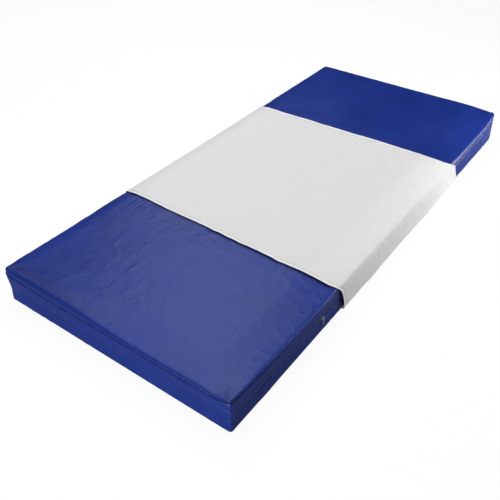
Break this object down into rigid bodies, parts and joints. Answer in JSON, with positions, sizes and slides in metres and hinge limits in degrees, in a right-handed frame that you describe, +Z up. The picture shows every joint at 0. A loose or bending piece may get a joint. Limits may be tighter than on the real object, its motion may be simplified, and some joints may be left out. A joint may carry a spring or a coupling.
{
  "type": "care mattress",
  "caption": "One-piece foam mattress in a blue wipe-clean cover with a zip round its sides, and a white draw sheet stretched over its middle and tucked under the long sides.",
  "frame": {"origin": "centre of the underside of the mattress, on the surface it lies on", "axes": "+Z up, +Y along the length from the foot end to the head end, +X across the width towards the side with the zip slider"},
  "size_m": [0.9039, 2, 0.14],
  "materials": {
    "cover_blue": "polyurethane-coated fabric, satin, finely creased",
    "white_cotton": "plain-woven cotton, matte",
    "foam": "open-cell polyurethane foam",
    "zip_tape": "woven polyester tape",
    "zip_teeth": "moulded plastic",
    "nickel": "bright nickel plate"
  },
  "bodies": {
    "mattress": {"foam_base_layer": "foam", "foam_comfort_layer": "foam", "cover_top_panel": "cover_blue", "top_seam_piping": "cover_blue", "upper_border_right": "cover_blue", "upper_border_left": "cover_blue", "upper_border_foot": "cover_blue", "upper_border_head": "cover_blue", "lower_border_right": "cover_blue", "lower_border_left": "cover_blue", "lower_border_foot": "cover_blue", "lower_border_head": "cover_blue", "cover_base_panel": "cover_blue", "zip_flap": "cover_blue", "zip_upper_tape": "zip_tape", "zip_lower_tape": "zip_tape", "zip_upper_teeth": "zip_teeth", "zip_lower_teeth": "zip_teeth", "zip_end_stops": "nickel", "draw_sheet": "white_cotton", "sheet_near_hem": "white_cotton", "sheet_far_hem": "white_cotton", "sheet_right_end_hem": "white_cotton", "sheet_left_end_hem": "white_cotton"},
    "zip_slider": {"zip_slider_body": "nickel"},
    "zip_pull": {"zip_pull_tab": "nickel"}
  },
  "joints": [
    {"name": "zip_travel", "type": "slide", "parent": "mattress", "child": "zip_slider", "axis": [0, 1, 0], "range_m": [-0.4, 0]},
    {"name": "pull_swing", "type": "hinge", "parent": "zip_slider", "child": "zip_pull", "pos_m": [0.4519, -0.531, 0.052], "axis": [0, -1, 0], "range_deg": [0, 170]}
  ]
}
